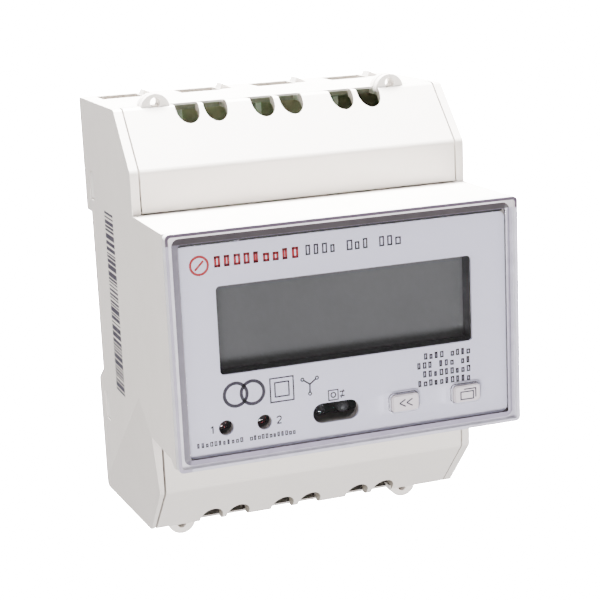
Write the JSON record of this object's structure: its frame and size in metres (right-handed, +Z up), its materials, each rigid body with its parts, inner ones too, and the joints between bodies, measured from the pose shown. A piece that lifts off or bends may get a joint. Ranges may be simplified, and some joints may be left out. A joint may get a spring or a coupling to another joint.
{
  "type": "smart electric meter",
  "caption": "DIN-rail electricity meter: stepped off-white case, clear front window over a grey face with LCD and push buttons, sealable wiring covers.",
  "frame": {"origin": "centre of the rail seat, the flat on the back that rests on the front of a 35 mm rail", "axes": "+X to the right seen from the front, +Y out of the back towards the rail, +Z up"},
  "size_m": [0.072, 0.0658, 0.0944],
  "materials": {
    "housing": "fine-textured warm off-white moulded plastic",
    "base": "off-white moulded plastic",
    "cover": "fine-textured warm off-white moulded plastic",
    "latch": "dark glass-filled plastic",
    "spring_steel": "spring wire",
    "window": "clear polished plastic window",
    "label": "printed pale grey face plate",
    "lcd_frame": "black moulded frame",
    "lcd_glass": "grey-green liquid crystal glass",
    "backlight": "white light guide",
    "circuit_board": "green coated board",
    "led_lens": "tinted lens",
    "optical_lens": "tinted lens",
    "button": "pale grey soft-touch cap",
    "component_black": "black component body",
    "film_capacitor": "moulded box",
    "capacitor_can": "sleeved can",
    "transformer": "varnished core and winding",
    "copper": "bare copper bar",
    "ring_case": "moulded ring case",
    "brass": "machined brass",
    "screw_steel": "zinc-plated screw",
    "signal_strip": "green moulded strip"
  },
  "bodies": {
    "meter_body": {"front_housing": "housing", "back_base": "base", "latch_spring": "spring_steel", "front_window": "window", "face_label": "label", "lcd_frame": "lcd_frame", "lcd_glass": "lcd_glass", "lcd_backlight": "backlight", "display_board": "circuit_board", "main_board": "circuit_board", "pulse_led_a": "led_lens", "pulse_led_b": "led_lens", "optical_emitter": "optical_lens", "optical_receiver": "optical_lens", "tact_switch_left": "component_black", "tact_switch_right": "component_black", "board_connector": "component_black", "metering_chip": "component_black", "supply_capacitor": "film_capacitor", "storage_capacitor": "capacitor_can", "supply_transformer": "transformer", "neutral_bar": "copper", "phase_bar_1": "copper", "phase_bar_2": "copper", "phase_bar_3": "copper", "current_transformer_1": "ring_case", "current_transformer_2": "ring_case", "current_transformer_3": "ring_case", "terminal_block_top_1": "brass", "terminal_block_top_2": "brass", "terminal_block_top_3": "brass", "terminal_block_top_4": "brass", "signal_strip_top": "signal_strip", "terminal_block_bottom_1": "brass", "terminal_block_bottom_2": "brass", "terminal_block_bottom_3": "brass", "terminal_block_bottom_4": "brass", "signal_strip_bottom": "signal_strip"},
    "top_cover": {"top_terminal_cover": "cover"},
    "bottom_cover": {"bottom_terminal_cover": "cover"},
    "latch": {"rail_latch": "latch"},
    "left_button": {"push_button_left": "button"},
    "right_button": {"push_button_right": "button"},
    "screw_top_1": {"terminal_screw_top_1": "screw_steel"},
    "screw_top_2": {"terminal_screw_top_2": "screw_steel"},
    "screw_top_3": {"terminal_screw_top_3": "screw_steel"},
    "screw_top_4": {"terminal_screw_top_4": "screw_steel"},
    "screw_bottom_1": {"terminal_screw_bottom_1": "screw_steel"},
    "screw_bottom_2": {"terminal_screw_bottom_2": "screw_steel"},
    "screw_bottom_3": {"terminal_screw_bottom_3": "screw_steel"},
    "screw_bottom_4": {"terminal_screw_bottom_4": "screw_steel"}
  },
  "joints": [
    {"name": "top_cover_lift", "type": "slide", "parent": "meter_body", "child": "top_cover", "axis": [0, -0.7071, 0.7071], "range_m": [0, 0.045]},
    {"name": "bottom_cover_lift", "type": "slide", "parent": "meter_body", "child": "bottom_cover", "axis": [0, -0.7071, -0.7071], "range_m": [0, 0.045]},
    {"name": "latch_pull", "type": "slide", "parent": "meter_body", "child": "latch", "axis": [0, 0, -1], "range_m": [0, 0.004], "stiffness_N_per_m": 1200, "springref_m": -0.002, "deforming": ["latch_spring"]},
    {"name": "left_button_press", "type": "slide", "parent": "meter_body", "child": "left_button", "axis": [0, 1, 0], "range_m": [0, 0.0008], "stiffness_N_per_m": 900, "springref_m": -0.0003},
    {"name": "right_button_press", "type": "slide", "parent": "meter_body", "child": "right_button", "axis": [0, 1, 0], "range_m": [0, 0.0008], "stiffness_N_per_m": 900, "springref_m": -0.0003},
    {"name": "screw_top_1_turn", "type": "hinge", "parent": "meter_body", "child": "screw_top_1", "pos_m": [-0.0284, -0.0082, 0.0336], "axis": [0, 1, 0], "continuous": true},
    {"name": "screw_top_2_turn", "type": "hinge", "parent": "meter_body", "child": "screw_top_2", "pos_m": [-0.0109, -0.0082, 0.0336], "axis": [0, 1, 0], "continuous": true},
    {"name": "screw_top_3_turn", "type": "hinge", "parent": "meter_body", "child": "screw_top_3", "pos_m": [0.0066, -0.0082, 0.0336], "axis": [0, 1, 0], "continuous": true},
    {"name": "screw_top_4_turn", "type": "hinge", "parent": "meter_body", "child": "screw_top_4", "pos_m": [0.0241, -0.0082, 0.0336], "axis": [0, 1, 0], "continuous": true},
    {"name": "screw_bottom_1_turn", "type": "hinge", "parent": "meter_body", "child": "screw_bottom_1", "pos_m": [-0.0284, -0.0095, -0.0388], "axis": [0, 1, 0], "continuous": true},
    {"name": "screw_bottom_2_turn", "type": "hinge", "parent": "meter_body", "child": "screw_bottom_2", "pos_m": [-0.0109, -0.0095, -0.0388], "axis": [0, 1, 0], "continuous": true},
    {"name": "screw_bottom_3_turn", "type": "hinge", "parent": "meter_body", "child": "screw_bottom_3", "pos_m": [0.0066, -0.0095, -0.0388], "axis": [0, 1, 0], "continuous": true},
    {"name": "screw_bottom_4_turn", "type": "hinge", "parent": "meter_body", "child": "screw_bottom_4", "pos_m": [0.0241, -0.0095, -0.0388], "axis": [0, 1, 0], "continuous": true}
  ]
}
